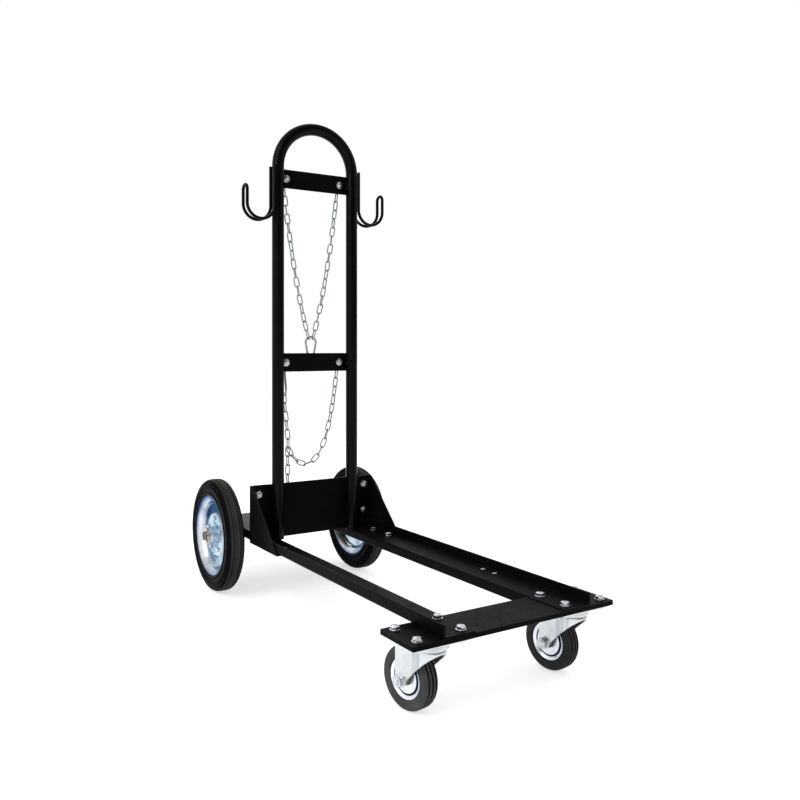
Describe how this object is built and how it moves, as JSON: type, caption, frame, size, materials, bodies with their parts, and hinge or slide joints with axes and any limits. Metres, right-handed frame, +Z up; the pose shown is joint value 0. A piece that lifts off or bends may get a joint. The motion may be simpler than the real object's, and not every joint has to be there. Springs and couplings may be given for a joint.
{
  "type": "welding trolley",
  "caption": "Black steel trolley for a welding set: two folded rails on swivel casters and large rear wheels, upright tube hoop with cable hooks, safety chains and a rear cylinder platform.",
  "frame": {"origin": "on the floor, at the middle of the outline seen from above", "axes": "+X to the right as seen from the front, +Y to the back, towards the large wheels, +Z up"},
  "size_m": [0.4308, 0.995, 1.0699],
  "materials": {
    "black_coat": "semi-gloss black powder coat",
    "bright_steel": "bright zinc plated",
    "zinc_plate": "bluish zinc plated",
    "chain_zinc": "grey zinc plated",
    "tyre": "matt black rubber",
    "caster_tyre": "matt grey-black rubber",
    "nylon": "moulded black nylon"
  },
  "bodies": {
    "frame": {"front_plate": "black_coat", "left_rail": "black_coat", "right_rail": "black_coat", "cylinder_platform": "black_coat", "back_plate": "black_coat", "left_gusset": "black_coat", "right_gusset": "black_coat", "handle_hoop": "black_coat", "upper_crossbar": "black_coat", "middle_crossbar": "black_coat", "left_cable_hook": "black_coat", "right_cable_hook": "black_coat", "weld_beads": "black_coat", "left_axle_bracket": "black_coat", "right_axle_bracket": "black_coat", "left_stub_axle": "black_coat", "right_stub_axle": "black_coat", "axle_washers": "bright_steel", "split_pins": "bright_steel", "frame_bolts": "bright_steel", "caster_bolts": "bright_steel", "bolt_washers": "bright_steel", "frame_nuts": "bright_steel", "crossbar_bolts": "bright_steel", "crossbar_washers": "bright_steel", "crossbar_nuts": "bright_steel", "caster_balls": "bright_steel", "left_caster_plate": "zinc_plate", "right_caster_plate": "zinc_plate", "left_caster_kingpin": "zinc_plate", "right_caster_kingpin": "zinc_plate", "chain_end_links": "chain_zinc"},
    "left_caster_swivel": {"left_caster_fork": "zinc_plate", "left_caster_axle": "bright_steel"},
    "right_caster_swivel": {"right_caster_fork": "zinc_plate", "right_caster_axle": "bright_steel"},
    "left_caster_wheel": {"left_caster_tyre": "caster_tyre", "left_caster_rim": "zinc_plate", "left_caster_bush": "nylon"},
    "right_caster_wheel": {"right_caster_tyre": "caster_tyre", "right_caster_rim": "zinc_plate", "right_caster_bush": "nylon"},
    "left_rear_wheel": {"left_wheel_tyre": "tyre", "left_wheel_rim_outer": "zinc_plate", "left_wheel_rim_inner": "zinc_plate", "left_wheel_hub": "zinc_plate", "left_wheel_bearing": "nylon", "left_wheel_bolts": "bright_steel"},
    "right_rear_wheel": {"right_wheel_tyre": "tyre", "right_wheel_rim_outer": "zinc_plate", "right_wheel_rim_inner": "zinc_plate", "right_wheel_hub": "zinc_plate", "right_wheel_bearing": "nylon", "right_wheel_bolts": "bright_steel"},
    "upper_safety_chain": {"upper_chain": "chain_zinc", "upper_snap_hook": "chain_zinc"},
    "upper_snap_latch": {"upper_snap_gate": "chain_zinc"},
    "lower_safety_chain": {"lower_chain": "chain_zinc", "lower_snap_hook": "chain_zinc"},
    "lower_snap_latch": {"lower_snap_gate": "chain_zinc"}
  },
  "joints": [
    {"name": "left_caster_turn", "type": "hinge", "parent": "frame", "child": "left_caster_swivel", "pos_m": [-0.1475, -0.4515, 0.107], "axis": [0, 0, 1], "continuous": true},
    {"name": "left_caster_spin", "type": "hinge", "parent": "left_caster_swivel", "child": "left_caster_wheel", "pos_m": [-0.1541, -0.41408, 0.05], "axis": [0.9848, 0.1736, 0], "continuous": true},
    {"name": "left_wheel_spin", "type": "hinge", "parent": "frame", "child": "left_rear_wheel", "pos_m": [-0.1835, 0.346, 0.127], "axis": [1, 0, 0], "continuous": true},
    {"name": "right_caster_turn", "type": "hinge", "parent": "frame", "child": "right_caster_swivel", "pos_m": [0.1475, -0.4515, 0.107], "axis": [0, 0, 1], "continuous": true},
    {"name": "right_caster_spin", "type": "hinge", "parent": "right_caster_swivel", "child": "right_caster_wheel", "pos_m": [0.14221, -0.41387, 0.05], "axis": [0.9903, 0.1392, 0], "continuous": true},
    {"name": "right_wheel_spin", "type": "hinge", "parent": "frame", "child": "right_rear_wheel", "pos_m": [0.1835, 0.346, 0.127], "axis": [1, 0, 0], "continuous": true},
    {"name": "upper_chain_swing", "type": "hinge", "parent": "frame", "child": "upper_safety_chain", "pos_m": [0, 0.23285, 0.9209], "axis": [1, 0, 0], "range_deg": [0, 70]},
    {"name": "upper_snap_open", "type": "hinge", "parent": "upper_safety_chain", "child": "upper_snap_latch", "pos_m": [0.00529, 0.23285, 0.53035], "axis": [0, -1, 0], "range_deg": [0, 25], "stiffness_Nm_per_rad": 0.02, "springref_deg": -11.46},
    {"name": "lower_chain_swing", "type": "hinge", "parent": "frame", "child": "lower_safety_chain", "pos_m": [0, 0.23285, 0.5059], "axis": [1, 0, 0], "range_deg": [0, 70]},
    {"name": "lower_snap_open", "type": "hinge", "parent": "lower_safety_chain", "child": "lower_snap_latch", "pos_m": [-0.0685, 0.23814, 0.5037], "axis": [-1, 0, 0], "range_deg": [0, 25], "stiffness_Nm_per_rad": 0.02, "springref_deg": -11.46}
  ]
}
